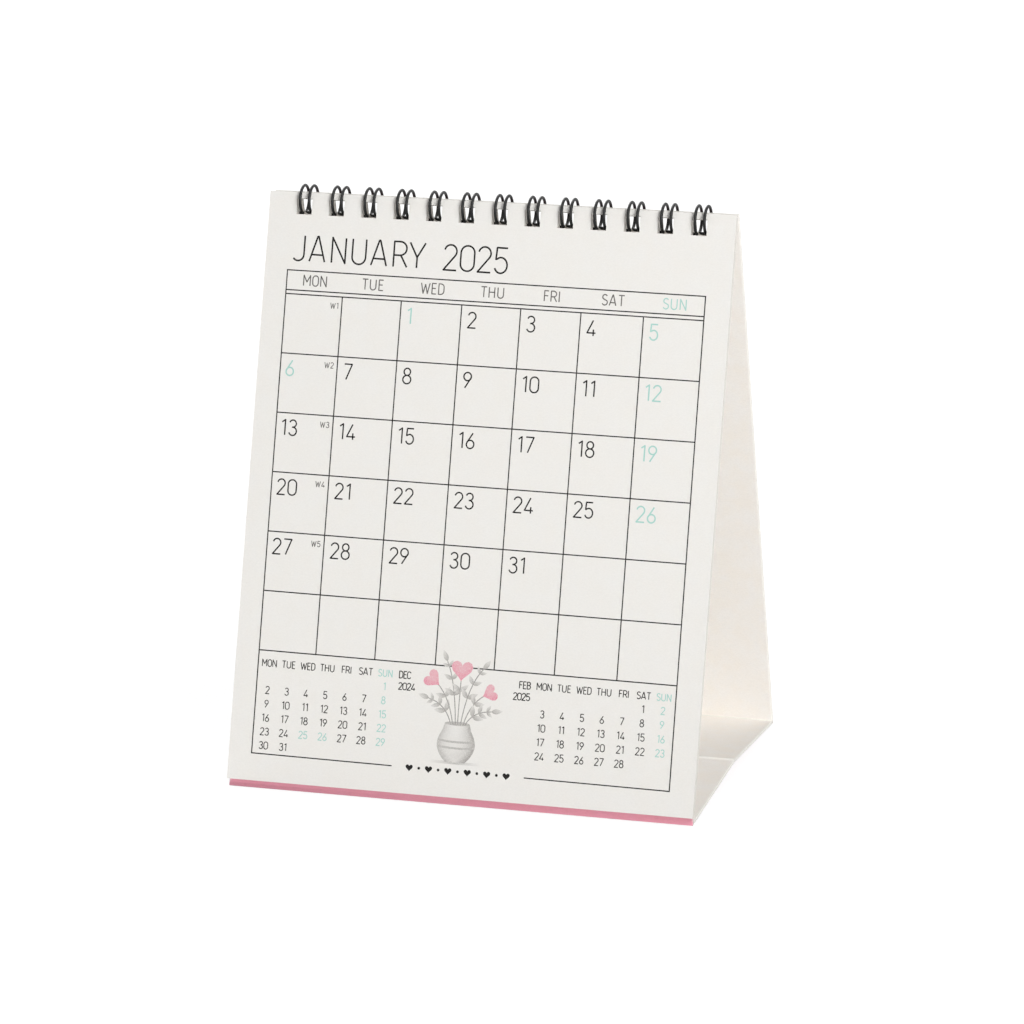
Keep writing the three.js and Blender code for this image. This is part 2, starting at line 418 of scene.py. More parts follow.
def crease(name, centre, sign):
    """The bend between a panel and the base, with the raised bead of a creased board inside it.

    sign is 1 at the front and -1 at the back. Returns the piece and the two points, in metres,
    between which it bends.
    """
    panel_up = math.pi / 2 - LEAN
    outer_from = panel_up + math.pi / 2
    outer_to = flap_angle + 1.5 * math.pi

    def around(angle, radius):
        return Vector((0, sign * radius * math.cos(angle), radius * math.sin(angle)))

    profile, edge_kinds = [], []
    for i in range(BEND_STEPS + 1):
        angle = outer_from + i / BEND_STEPS * (outer_to - outer_from)
        from_face = min(angle - outer_from, outer_to - angle)
        profile.append(around(angle, min(CARD_THICKNESS / math.cos(from_face), CORNER_REACH)))
        edge_kinds.append(PINK_FACE)
    edge_kinds[-1] = CUT_FACE
    for i in range(BEAD_STEPS + 1):
        angle = flap_angle + i / BEAD_STEPS * (panel_up - flap_angle)
        profile.append(around(angle, BEAD_RADIUS))
        edge_kinds.append(CUT_FACE)

    count = len(profile)
    half = CARD_WIDTH / 2
    core_point = sum(profile, Vector()) / count
    inner_half = half - EDGE_ROUND
    sections = [(-half, END_SIZE), (-inner_half, 1), (inner_half, 1), (half, END_SIZE)]
    vertices = []
    for x, size in sections:
        for point in profile:
            moved = core_point + (point - core_point) * size + centre
            vertices.append((x, moved.y, moved.z))
    faces, kinds = [], []
    for section in range(len(sections) - 1):
        for k in range(count):
            a, b = section * count + k, section * count + (k + 1) % count
            faces.append([a, b, b + count, a + count])
            kinds.append(edge_kinds[k])
    last = (len(sections) - 1) * count
    faces += [list(range(count)), list(range(last, last + count))]
    kinds += [CUT_FACE, CUT_FACE]
    made = outward(mesh_object(name, vertices, faces, kinds, card_materials, smooth=True))
    worn = [float(k > BEND_STEPS) for k in range(count)] * len(sections)
    made.data.attributes.new("wear_and_highlight", "FLOAT", "POINT").data.foreach_set("value", worn)
    chord = around(outer_to, 1) - around(outer_from, 1)
    chord.normalize()
    return made, (centre - chord * BLEND_REACH) * MM, (centre + chord * BLEND_REACH) * MM


stand_front = slab("stand_front", on_front, CREASE_ALONG, PANEL_LENGTH, punched=True)
stand_back = slab("stand_back", on_back, CREASE_ALONG, PANEL_LENGTH, punched=True)
base_front = slab("base_front_half", on_front_flap, 0, flap_length, open_end=True)
base_rear = slab("base_rear_half", on_back_flap, 0, flap_length, open_end=True)
for piece, body, node, slot in (
    (stand_front, "front", "front_panel", "pink_card"),
    (stand_back, "back", "back_panel", "card"),
    (base_front, "base_front", "base_front_flap", "card"),
    (base_rear, "base_rear", "base_rear_flap", "card"),
):
    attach(piece, body)
    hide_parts(node)

for name, centre, sign, panel_body, flap_body in (
    ("crease_front", front_crease, 1, "front", "base_front"),
    ("crease_back", back_crease, -1, "back", "base_rear"),
):
    bend, start, end = crease(name, centre, sign)
    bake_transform(bend)


# Binding wire

WIRE_SIDES = 14
RING_STEPS = 44
BEND_POINTS = 8
TIP_POINTS = 14
CAP_POINTS = 3

ring_depth = RING_RADIUS - RING_REACH - STACK_DEPTH
ring_height = PANEL_LENGTH - HOLE_MARGIN - HOLE_SIZE + WIRE_CLEARANCE + WIRE_RADIUS + RING_RADIUS
root_angle = math.asin((CARD_THICKNESS + SPINE_CLEARANCE + WIRE_RADIUS - ring_depth) / RING_RADIUS)
open_angle = 2 * math.asin((2 * WIRE_RADIUS + CLOSURE_GAP) / (2 * RING_RADIUS))
tip_angle = root_angle + open_angle - 2 * math.pi


def flat_comb():
    """The wire before it is curled: x along the spine, arc along the loops."""
    comb_length = RING_RADIUS * (root_angle - tip_angle)
    straight_end = comb_length - TWIN_SPACING / 2
    bend_offset = TWIN_SPACING / 2 + ROOT_BEND
    points = []

    def add(x, arc):
        points.append((x + LOOP_SKEW * (arc / comb_length - 0.5), arc))

    def add_bend(x, arc, radius, start, end, steps):
        for i in range(steps + 1):
            turn = start + (end - start) * i / steps
            add(x + radius * math.cos(turn), arc + radius * math.sin(turn))

    def add_straight(x, start, end):
        for i in range(1, RING_STEPS):
            add(x, start + (end - start) * i / RING_STEPS)

    add(LOOP_PLACES[0] - bend_offset - END_STUB, 0)
    for x in LOOP_PLACES:
        add_bend(x - bend_offset, ROOT_BEND, ROOT_BEND, -math.pi / 2, 0, BEND_POINTS)
        add_straight(x - TWIN_SPACING / 2, ROOT_BEND, straight_end)
        add_bend(x, straight_end, TWIN_SPACING / 2, math.pi, 0, TIP_POINTS)
        add_straight(x + TWIN_SPACING / 2, straight_end, ROOT_BEND)
        add_bend(x + bend_offset, ROOT_BEND, ROOT_BEND, math.pi, 1.5 * math.pi, BEND_POINTS)
    add(LOOP_PLACES[-1] + bend_offset + END_STUB, 0)
    return points


def wire_piece():
    """The comb curled round the ring axis, as one round tube with rounded ends."""
    route = []
    for x, arc in flat_comb():
        angle = root_angle - arc / RING_RADIUS
        out = Vector((0, math.sin(angle), -math.cos(angle)))
        route.append((Vector((x, ring_depth, ring_height)) + out * RING_RADIUS, out))
    sections = []
    for i, (point, out) in enumerate(route):
        along = (route[min(i + 1, len(route) - 1)][0] - route[max(i - 1, 0)][0]).normalized()
        side = along.cross(out).normalized()
        sections.append((point, side, side.cross(along), along, WIRE_RADIUS))

    def cap(section, sign):
        """The sections that round one end off, outward from it."""
        point, side, up, along, _ = section
        rounded = []
        for k in range(CAP_POINTS):
            turn = (k + 0.5) * math.pi / 2 / CAP_POINTS
            moved = point + along * sign * WIRE_RADIUS * math.sin(turn)
            rounded.append((moved, side, up, along, WIRE_RADIUS * math.cos(turn)))
        return rounded

    sections = cap(sections[0], -1)[::-1] + sections + cap(sections[-1], 1)
    vertices, faces = [], []
    for point, side, up, _, radius in sections:
        for k in range(WIRE_SIDES):
            turn = 2 * math.pi * k / WIRE_SIDES
            out = up * math.cos(turn) + side * math.sin(turn)
            vertices.append(front_side @ (point + out * radius))
    for i in range(len(sections) - 1):
        for k in range(WIRE_SIDES):
            a, b = i * WIRE_SIDES + k, i * WIRE_SIDES + (k + 1) % WIRE_SIDES
            faces.append([a, b, b + WIRE_SIDES, a + WIRE_SIDES])
    last = (len(sections) - 1) * WIRE_SIDES
    faces += [list(range(WIRE_SIDES)), list(range(last, last + WIRE_SIDES))]
    kinds = [0] * len(faces)
    return outward(mesh_object("wire_comb", vertices, faces, kinds, [wire_coating()], smooth=True))


wire = wire_piece()
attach(wire, "front")
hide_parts("binding_wire")


# Lettering: single strokes on a capital height of 1. A letter is its width, the space that it
# needs at its left and right, and its strokes. In a stroke, two numbers are a point. Six are
# an elliptical arc: its centre, its two radii, and its first and last angle in degrees.

# The space beside a straight, a round and a slanted or open side
STRAIGHT, ROUND, SLANT = 0.12, 0.055, 0.04

OVAL = (0.56, ROUND, ROUND, [
    [(0.28, 0.72, 0.28, 0.28, 0, 180), (0.28, 0.28, 0.28, 0.28, 180, 360), (0.56, 0.72)],
])
GLYPHS = {
    "0": OVAL,
    "1": (0.22, 0.09, 0.13, [[(0, 0.84), (0.22, 1), (0.22, 0)]]),
    "2": (0.53, ROUND, ROUND, [[(0.26, 0.74, 0.25, 0.26, 168, -35), (0, 0), (0.53, 0)]]),
    "3": (0.52, ROUND, ROUND, [
        [(0.25, 0.77, 0.225, 0.23, 162, -80), (0.2, 0.54)],
        [(0.2, 0.54), (0.25, 0.27, 0.26, 0.27, 80, -162)],
    ]),
    "4": (0.56, ROUND, ROUND, [[(0.37, 1), (0, 0.19), (0.56, 0.19)], [(0.41, 0.42), (0.41, 0)]]),
    "5": (0.52, ROUND, ROUND, [[(0.5, 1), (0.07, 1), (0.04, 0.54), (0.25, 0.31, 0.26, 0.31, 128, -158)]]),
    "6": (0.5, ROUND, ROUND, [
        [(0.25, 0.265, 0.25, 0.265, 165, -195)],
        [(0.4, 1), (0.012, 0.34)],
    ]),
    "7": (0.52, ROUND, ROUND, [[(0, 1), (0.52, 1), (0.15, 0)]]),
    "8": (0.53, ROUND, ROUND, [
        [(0.265, 0.77, 0.215, 0.23, -90, 270)],
        [(0.265, 0.27, 0.265, 0.27, 90, 450)],
    ]),
    "9": (0.5, ROUND, ROUND, [
        [(0.25, 0.735, 0.25, 0.265, -15, 345)],
        [(0.1, 0), (0.488, 0.66)],
    ]),
    "A": (0.64, 0.07, 0.12, [[(0, 0), (0.3, 1), (0.34, 1), (0.64, 0)], [(0.085, 0.27), (0.555, 0.27)]]),
    "B": (0.49, STRAIGHT, ROUND, [
        [(0, 0.53), (0, 1), (0.24, 1), (0.24, 0.765, 0.21, 0.235, 90, -90), (0, 0.53)],
        [(0, 0.53), (0.24, 0.53), (0.24, 0.265, 0.25, 0.265, 90, -90), (0, 0), (0, 0.53)],
    ]),
    "C": (0.52, ROUND, ROUND, [[(0.27, 0.72, 0.27, 0.28, 18, 180), (0.27, 0.28, 0.27, 0.28, 180, 342)]]),
    "D": (0.52, STRAIGHT, ROUND, [
        [(0, 0), (0, 1), (0.22, 1), (0.22, 0.7, 0.3, 0.3, 90, 0), (0.22, 0.3, 0.3, 0.3, 0, -90), (0, 0)],
    ]),
    "E": (0.42, STRAIGHT, SLANT, [[(0.42, 1), (0, 1), (0, 0), (0.42, 0)], [(0, 0.53), (0.36, 0.53)]]),
    "F": (0.42, STRAIGHT, SLANT, [[(0.42, 1), (0, 1), (0, 0)], [(0, 0.53), (0.36, 0.53)]]),
    "G": (0.54, ROUND, STRAIGHT, [
        [(0.27, 0.72, 0.27, 0.28, 20, 180), (0.27, 0.28, 0.27, 0.28, 180, 360), (0.54, 0.48), (0.3, 0.48)],
    ]),
    "H": (0.54, STRAIGHT, STRAIGHT, [[(0, 0), (0, 1)], [(0.54, 0), (0.54, 1)], [(0, 0.52), (0.54, 0.52)]]),
    "I": (0, STRAIGHT, STRAIGHT, [[(0, 0), (0, 1)]]),
    "J": (0.43, SLANT, STRAIGHT, [[(0.43, 1), (0.19, 0.25, 0.24, 0.25, 0, -142)]]),
    "L": (0.4, STRAIGHT, SLANT, [[(0, 1), (0, 0), (0.4, 0)]]),
    "M": (0.66, STRAIGHT, STRAIGHT, [[(0, 0), (0, 1), (0.33, 0.36), (0.66, 1), (0.66, 0)]]),
    "N": (0.56, STRAIGHT, STRAIGHT, [[(0, 0), (0, 1), (0.56, 0), (0.56, 1)]]),
    "O": OVAL,
    "P": (0.5, STRAIGHT, ROUND, [[(0, 0), (0, 1), (0.24, 1), (0.24, 0.73, 0.26, 0.27, 90, -90), (0, 0.46)]]),
    "R": (0.56, STRAIGHT, SLANT, [
        [(0, 0), (0, 1), (0.25, 1), (0.25, 0.73, 0.27, 0.27, 90, -90), (0, 0.46)],
        [(0.29, 0.46), (0.56, 0)],
    ]),
    "S": (0.52, ROUND, ROUND, [
        [(0.265, 0.76, 0.235, 0.24, 28, 218), (0.26, 0.26, 0.26, 0.26, 38, -156)],
    ]),
    "T": (0.56, SLANT, SLANT, [[(0, 1), (0.56, 1)], [(0.28, 1), (0.28, 0)]]),
    "U": (0.56, STRAIGHT, STRAIGHT, [[(0, 1), (0.28, 0.28, 0.28, 0.28, 180, 360), (0.56, 1)]]),
    "V": (0.6, SLANT, SLANT, [[(0, 1), (0.3, 0), (0.6, 1)]]),
    "W": (0.86, SLANT, SLANT, [[(0, 1), (0.22, 0), (0.43, 0.85), (0.64, 0), (0.86, 1)]]),
    "Y": (0.64, 0, 0, [[(0, 1), (0.32, 0.42), (0.64, 1)], [(0.32, 0.42), (0.32, 0)]]),
    " ": (0.4, 0.12, 0.12, []),
}

# A style is its letters' height, their strokes' width, and a share of the height between them
Style = namedtuple("Style", "height stroke tracking")

SHARP_TURN = math.radians(40)
SAME_POINT = 1e-4
# The step along an arc, in degrees, in letters above this height and in smaller ones
LARGE_LETTER = 3
LARGE_STEP, SMALL_STEP = 15, 30
# The sizes of a shaded shape's outline and of the two copies inside it
SHADE_SIZES = (1, 0.72, 0.4)


def arc_points(centre_x, centre_y, radius_x, radius_y, start, end, step):
    """Points along an elliptical arc, with its angles in degrees."""
    count = max(2, round(abs(end - start) / step))
    turns = [math.radians(start + (end - start) * i / count) for i in range(count + 1)]
    return [(centre_x + radius_x * math.cos(t), centre_y + radius_y * math.sin(t)) for t in turns]


def stroke_points(stroke, step):
    points = []
    for part in stroke:
        is_arc = len(part) == 6
        for point in arc_points(*part, step) if is_arc else [part]:
            if not points or math.dist(point, points[-1]) > SAME_POINT:
                points.append(point)
    return points


def even(tint):
    """A shape's kind, for one tint all over it."""

    def shade(x, y):
        return tint

    return shade


class Print:
    """Flat shapes printed on a leaf, in millimetres from the middle of its lower edge.

    A shape's kind is the number of its ink, or a function that gives the paper's tint at a point.
    """

    def __init__(self):
        self.points = []
        self.faces = []
        self.kinds = []

    def polygon(self, corners, kind):
        area = sum(a[0] * b[1] - b[0] * a[1] for a, b in zip(corners, corners[1:] + corners[:1]))
        first = len(self.points)
        self.points += corners
        numbers = list(range(first, first + len(corners)))
        self.faces.append(numbers if area > 0 else numbers[::-1])
        self.kinds.append(kind)

    def disc(self, x, y, radius, kind, sides=10):
        turns = [2 * math.pi * (i + 0.5) / sides for i in range(sides)]
        self.polygon([(x + radius * math.cos(t), y + radius * math.sin(t)) for t in turns], kind)

    def shaded(self, outline, shade):
        """A shape with smaller copies inside it, so that its tint can change between them."""
        centre = sum((Vector(point) for point in outline), Vector((0, 0))) / len(outline)
        for size in SHADE_SIZES:
            self.polygon([tuple(centre + (Vector(point) - centre) * size) for point in outline], shade)

    def line(self, points, width, kind):
        """A ribbon along the points, mitred at gentle turns and with a disc at each sharp one."""
        half = width / 2
        steps = [Vector(b) - Vector(a) for a, b in zip(points, points[1:])]
        normals = [Vector((-s.y, s.x)).normalized() for s in steps]
        is_loop = math.dist(points[0], points[-1]) < SAME_POINT
        for i, (a, b) in enumerate(zip(points, points[1:])):
            sides = []
            for point, other in ((a, i - 1), (b, i + 1)):
                if is_loop:
                    other %= len(steps)
                normal = normals[i]
                if 0 <= other < len(steps):
                    turn = normal.angle(normals[other])
                    if turn < SHARP_TURN:
                        middle_normal = (normal + normals[other]).normalized()
                        normal = middle_normal / math.cos(turn / 2)
                    elif other > i:
                        self.disc(*point, half, kind, sides=8)
                centre = Vector(point)
                sides.append((tuple(centre + normal * half), tuple(centre - normal * half)))
            (left_a, right_a), (left_b, right_b) = sides
            self.polygon([right_a, right_b, left_b, left_a], kind)

    def text(self, words, x, base, style, kind, align="left"):
        """Writes words in a style, with their baseline at base."""
        height, width, tracking = style
        step = LARGE_STEP if height > LARGE_LETTER else SMALL_STEP
        place, last_right, placed = 0, None, []
        for letter in words:
            glyph_width, left, right, strokes = GLYPHS[letter]
            if last_right is not None:
                place += last_right + left + tracking
            placed.append((place, strokes))
            place += glyph_width
            last_right = right
        shift = {"left": 0, "centre": -place * height / 2, "right": -place * height}[align]
        for offset, strokes in placed:
            for stroke in strokes:
                points = stroke_points(stroke, step)
                moved = [(x + shift + (offset + u) * height, base + v * height) for u, v in points]
                self.line(moved, width, kind)


# What each leaf says, measured down from its upper edge and from its middle line

GRID_LEFT, GRID_RIGHT = -54.0, 53.7
GRID_TOP, GRID_BOTTOM = 19.9, 141.0
HEAD_LINES = (24.85, 25.85)
ROW_PITCH = 14.89
ROW_COUNT = 6
COLUMN_LINES = [-39.1, -23.7, -8.0, 7.2, 22.6, 38.5]
LINE_WIDTH = 0.3
# The fall of the printed lines towards the right, for each millimetre across
PRINT_SKEW = 0.0065

# The gap in the lower border, with hearts and dots to each side of its middle
BOTTOM_GAP = (-17.3, 16.8)
BORDER_REACH, BORDER_PITCH = 5, 2.5
BORDER_HEART, BORDER_DOT = 1.9, 0.36

TITLE = Style(6.3, 0.44, 0.045)
TITLE_LEFT, TITLE_DOWN = -52.7, 17.45
WEEKDAY = Style(2.6, 0.28, 0.08)
WEEKDAY_DOWN = 23.6
# The insets are from a box's side, and the drops from its top
WEEK_NUMBER = Style(1.4, 0.19, 0.16)
WEEK_INSET, WEEK_DROP = 1, 3
DAY = Style(3.85, 0.36, 0.09)
FIRST_DAY_INSET, DAY_INSET, DAY_DROP = 1.6, 1.9, 5.55

SMALL_TITLE = Style(1.7, 0.25, 0)
SMALL_WEEKDAY = Style(1.7, 0.23, 0.02)
SMALL_DAY = Style(1.8, 0.23, 0.06)
SMALL_HEAD_DOWN, SMALL_YEAR_DOWN = 119.15, 122
SMALL_ROWS_DOWN = [122.5] + [125.95 + row * 3.46 for row in range(ROW_COUNT - 1)]
SMALL_PITCH = 5.06
# The first column of the month before and of the one after, and their names' place and side
BEFORE_PLACE = (-51.03, -17.0, "left")
AFTER_PLACE = (20.3, 16.8, "right")

WEEKDAYS = ["MON", "TUE", "WED", "THU", "FRI", "SAT", "SUN"]
SUNDAY = 6
HOLIDAYS = {1: (1, 6), 4: (21, 25), 5: (1,), 6: (2,), 8: (15,), 11: (1,), 12: (8, 25, 26)}


def weeks_of(year, month):
    return calendar.Calendar(firstweekday=0).monthdayscalendar(year, month)


def day_kind(month, column, day, plain):
    """The ink of a day's number, or of a weekday's name where day is 0."""
    return MINT_FACE if column == SUNDAY or day in HOLIDAYS.get(month, ()) else plain


def draw_grid(sheet):
    def across(down, left=GRID_LEFT, right=GRID_RIGHT):
        sheet.line([(left, LEAF_HEIGHT - down), (right, LEAF_HEIGHT - down)], LINE_WIDTH, INK_FACE)

    def upright(x, top, bottom):
        sheet.line([(x, LEAF_HEIGHT - top), (x, LEAF_HEIGHT - bottom)], LINE_WIDTH, INK_FACE)

    overhang = LINE_WIDTH / 2
    across(GRID_TOP, GRID_LEFT - overhang, GRID_RIGHT + overhang)
    across(HEAD_LINES[0])
    for row in range(ROW_COUNT + 1):
        across(HEAD_LINES[1] + row * ROW_PITCH)
    across(GRID_BOTTOM, GRID_LEFT - overhang, BOTTOM_GAP[0])
    across(GRID_BOTTOM, BOTTOM_GAP[1], GRID_RIGHT + overhang)
    for x in (GRID_LEFT, GRID_RIGHT):
        upright(x, GRID_TOP, GRID_BOTTOM)
    for x in COLUMN_LINES:
        upright(x, HEAD_LINES[1], HEAD_LINES[1] + ROW_COUNT * ROW_PITCH)


def draw_border(sheet):
    """Hearts and dots by turns, in the gap of the lower border."""
    for place in range(-BORDER_REACH, BORDER_REACH + 1):
        x, y = sum(BOTTOM_GAP) / 2 + place * BORDER_PITCH, LEAF_HEIGHT - GRID_BOTTOM
        if place % 2:
            sheet.polygon(heart(x, y, BORDER_HEART), INK_FACE)
        else:
            sheet.disc(x, y, BORDER_DOT, INK_FACE, sides=12)


def draw_month(sheet, month):
    title = f"{calendar.month_name[month].upper()} {YEAR}"
    sheet.text(title, TITLE_LEFT, LEAF_HEIGHT - TITLE_DOWN, TITLE, INK_FACE)
    edges = [GRID_LEFT] + COLUMN_LINES + [GRID_RIGHT]
    for column, weekday in enumerate(WEEKDAYS):
        middle_x = (edges[column] + edges[column + 1]) / 2
        kind = day_kind(month, column, 0, SOFT_FACE)
        sheet.text(weekday, middle_x, LEAF_HEIGHT - WEEKDAY_DOWN, WEEKDAY, kind, "centre")
    for row, week in enumerate(weeks_of(YEAR, month)):
        top = HEAD_LINES[1] + row * ROW_PITCH
        first_day = next(day for day in week if day)
        number = datetime.date(YEAR, month, first_day).isocalendar()[1]
        base = LEAF_HEIGHT - top - WEEK_DROP
        sheet.text(f"W{number}", edges[1] - WEEK_INSET, base, WEEK_NUMBER, SOFT_FACE, "right")
        for column, day in enumerate(week):
            if day:
                kind = day_kind(month, column, day, INK_FACE)
                place = edges[column] + (DAY_INSET if column else FIRST_DAY_INSET)
                sheet.text(str(day), place, LEAF_HEIGHT - top - DAY_DROP, DAY, kind)


def draw_small_month(sheet, year, month, first_column, label_x, align):
    """A neighbouring month, small, in the lower part of the leaf."""
    base = LEAF_HEIGHT - SMALL_HEAD_DOWN
    name = calendar.month_abbr[month].upper()
    sheet.text(name, label_x, base, SMALL_TITLE, INK_FACE, align)
    sheet.text(str(year), label_x, LEAF_HEIGHT - SMALL_YEAR_DOWN, SMALL_TITLE, INK_FACE, align)
    places = [first_column + column * SMALL_PITCH for column in range(len(WEEKDAYS))]
    for column, weekday in enumerate(WEEKDAYS):
        kind = day_kind(month, column, 0, INK_FACE)
        sheet.text(weekday, places[column], base, SMALL_WEEKDAY, kind, "centre")
    for down, week in zip(SMALL_ROWS_DOWN, weeks_of(year, month)):
        for column, day in enumerate(week):
            if day:
                kind = day_kind(month, column, day, INK_FACE)
                sheet.text(str(day), places[column], LEAF_HEIGHT - down, SMALL_DAY, kind, "centre")


# The drawing below the grid: a vase of sprigs and heart-shaped flowers in soft pencil

POSY_X, POSY_FOOT = -1.2, 8.7
VASE_HEIGHT, VASE_STEPS = 9.6, 12
FOOT_HALF, BELLY = 2.5, 2.4
MOUTH_HALF, MOUTH_DIP, MOUTH_STEP = 3.2, 0.5, 18
# The shares of the vase's height at which its neck starts and its two bands lie
NECK_START, NECK_SPAN = 0.82, 0.18
BAND_PLACES = (0.4, 0.56)
BAND_WIDTH, BAND_SAG, BAND_REACH = 0.5, 0.35, 4
GROUND_HALF, GROUND_DROP, GROUND_WIDTH = 6.5, 0.1, 0.7

# Each stem's lean in degrees, its length and the size of its flower, if it has one
STEMS = [
    (-57, 9.6, 0),
    (-38, 12.8, 4.6),
    (-14, 15.6, 0),
    (4, 13.4, 5.6),
    (26, 15, 0),
    (45, 11.4, 4.2),
    (64, 9.2, 0),
]
# How far each lean may differ from month to month, in degrees
STEM_SWAY = 4
STEM_WIDTH, STEM_STEPS = 0.26, 8
# How far to the side and below the mouth a stem starts
STEM_SPREAD, STEM_SUNK = 2.1, 0.3
# The steps of a stem that carry a pair of leaves, without a flower and with one
SPRIG_PAIRS, FLOWER_PAIRS = (3, 5, 7), (4,)
# The turn of such a leaf from its stem in radians, and its length, less so much a step
PAIR_TURN = 0.85
PAIR_LENGTH, PAIR_TAPER = 3.9, 0.28
TIP_LENGTH = 3
# A sprig's leaf: the steps along each of its sides, and its width as a share of its length
SPRIG_LEAF_STEPS = 6
SPRIG_LEAF_SHARE = 0.42


def heart(x, y, size, turn=0.0, steps=20):
    """A heart's outline about its middle, turned clockwise by an angle."""
    formula_width = 32
    cosine, sine = math.cos(turn), math.sin(turn)
    corners = []
    for i in range(steps):
        t = 2 * math.pi * i / steps
        rise = 13 * math.cos(t) - 5 * math.cos(2 * t) - 2 * math.cos(3 * t) - math.cos(4 * t)
        u = 16 * math.sin(t) ** 3 * size / formula_width
        v = rise * size / formula_width
        corners.append((x + u * cosine + v * sine, y - u * sine + v * cosine))
    return corners


def laid_on(colour, strength):
    """The paper's tint under a pencil of a colour, pressed on with some strength."""
    return [1 + strength * (mark / bare - 1) for mark, bare in zip(colour[:3], PAPER)] + [1]


def draw_sprig_leaf(sheet, x, y, angle, length):
    """A pointed leaf whose tone fades from its stem to its tip. The angle is from upright."""
    ahead = Vector((math.sin(angle), math.cos(angle)))
    aside = Vector((ahead.y, -ahead.x))
    width = length * SPRIG_LEAF_SHARE
    outline = []
    for side in (1, -1):
        for i in range(SPRIG_LEAF_STEPS):
            share = i / SPRIG_LEAF_STEPS if side > 0 else 1 - i / SPRIG_LEAF_STEPS
            half = width / 2 * math.sin(math.pi * share ** 0.8) * side
            outline.append(tuple(Vector((x, y)) + ahead * share * length + aside * half))

    def shade(u, v):
        moved = Vector((u - x, v - y))
        along = min(max(moved.dot(ahead) / length, 0), 1)
        across = moved.dot(aside) / width
        return laid_on(PENCIL, 0.2 + 0.5 * (1 - along) ** 1.5 + 0.5 * max(across, 0))

    sheet.shaded(outline, shade)


def draw_flower(sheet, x, y, size, turn):
    """A heart, paler at its middle and its top."""

    def shade(u, v):
        from_middle = min(math.hypot(u - x, v - y) / size, 0.6)
        return laid_on(BLUSH, 0.62 + 0.5 * from_middle - 0.3 * (v - y) / size)

    sheet.shaded(heart(x, y, size, turn), shade)


def mouth_arc(start, end):
    """Part of the vase's mouth, an ellipse, between two angles in degrees."""
    top = POSY_FOOT + VASE_HEIGHT
    return arc_points(POSY_X, top, MOUTH_HALF, MOUTH_DIP, start, end, MOUTH_STEP)[:-1]


def vase_half(share):
    """Half the vase's width at a share of its height."""
    flare = (MOUTH_HALF - FOOT_HALF) * max(share - NECK_START, 0) / NECK_SPAN
    return FOOT_HALF + BELLY * math.sin(math.pi * share ** 0.9) + flare


def draw_vase(sheet):
    """A round vase with two bands, on a soft line of shade."""
    right = []
    for i in range(VASE_STEPS):
        share = i / VASE_STEPS
        right.append((POSY_X + vase_half(share), POSY_FOOT + VASE_HEIGHT * i / VASE_STEPS))
    left = [(2 * POSY_X - x, y) for x, y in reversed(right)]
    lip = mouth_arc(360, 180) + [(POSY_X - MOUTH_HALF, POSY_FOOT + VASE_HEIGHT)]

    def shade(u, v):
        share = min(max((v - POSY_FOOT) / VASE_HEIGHT, 0), 1)
        across = (u - POSY_X) / vase_half(share)
        return laid_on(PENCIL, 0.06 + 0.42 * abs(across) ** 3 + 0.2 * max(across, 0) + 0.12 * (1 - share))

    def ground(u, v):
        return laid_on(PENCIL, max(0.5 - 0.075 * abs(u - POSY_X), 0))

    shadow = [(POSY_X + way * GROUND_HALF, POSY_FOOT - GROUND_DROP) for way in (-1, 0, 1)]
    sheet.line(shadow, GROUND_WIDTH, ground)
    sheet.shaded(right + lip + left, shade)
    for share in BAND_PLACES:
        half, middle_y = vase_half(share), POSY_FOOT + VASE_HEIGHT * share
        band = []
        for k in range(-BAND_REACH, BAND_REACH + 1):
            sag = BAND_SAG * (1 - k * k / BAND_REACH ** 2)
            band.append((POSY_X + half * k / BAND_REACH, middle_y - sag))
        sheet.line(band, BAND_WIDTH, even(laid_on(PENCIL, 0.55)))


def stem_curve(foot, tip):
    """A stem that rises steeply and then leans out to its tip."""
    elbow = foot + Vector((0.25 * (tip.x - foot.x), 0.62 * (tip.y - foot.y) + 1.2))
    curve = []
    for i in range(STEM_STEPS + 1):
        t = i / STEM_STEPS
        curve.append(tuple(foot * (1 - t) ** 2 + elbow * 2 * t * (1 - t) + tip * t * t))
    return curve


def heading(start, end):
    """The angle from upright of the way from one point to another."""
    ahead = Vector(end) - Vector(start)
    return math.atan2(ahead.x, ahead.y)


def draw_posy(sheet, month):
    """The vase and its stems, which lean the other way every second month."""
    side = 1 if month % 2 else -1
    mouth = Vector((POSY_X, POSY_FOOT + VASE_HEIGHT))
    sheet.polygon(mouth_arc(0, 360), even(laid_on(PENCIL, 0.6)))
    flowers = []
    for number, (lean, length, flower) in enumerate(STEMS):
        angle = math.radians(lean + STEM_SWAY * math.sin(month + number)) * side
        foot = mouth + Vector((STEM_SPREAD * math.sin(angle), -STEM_SUNK))
        tip = mouth + Vector((math.sin(angle), math.cos(angle))) * length
        curve = stem_curve(foot, tip)
        sheet.line(curve, STEM_WIDTH, even(laid_on(PENCIL, 0.8)))
        for i in FLOWER_PAIRS if flower else SPRIG_PAIRS:
            way = heading(curve[i - 1], curve[i + 1])
            for turn in (-PAIR_TURN, PAIR_TURN):
                draw_sprig_leaf(sheet, *curve[i], way + turn, PAIR_LENGTH - PAIR_TAPER * i)
        way = heading(curve[-2], curve[-1])
        if flower:
            flowers.append((tip.x, tip.y, flower, way))
        else:
            draw_sprig_leaf(sheet, tip.x, tip.y, way, TIP_LENGTH)
    for flower in flowers:
        draw_flower(sheet, *flower)
    draw_vase(sheet)


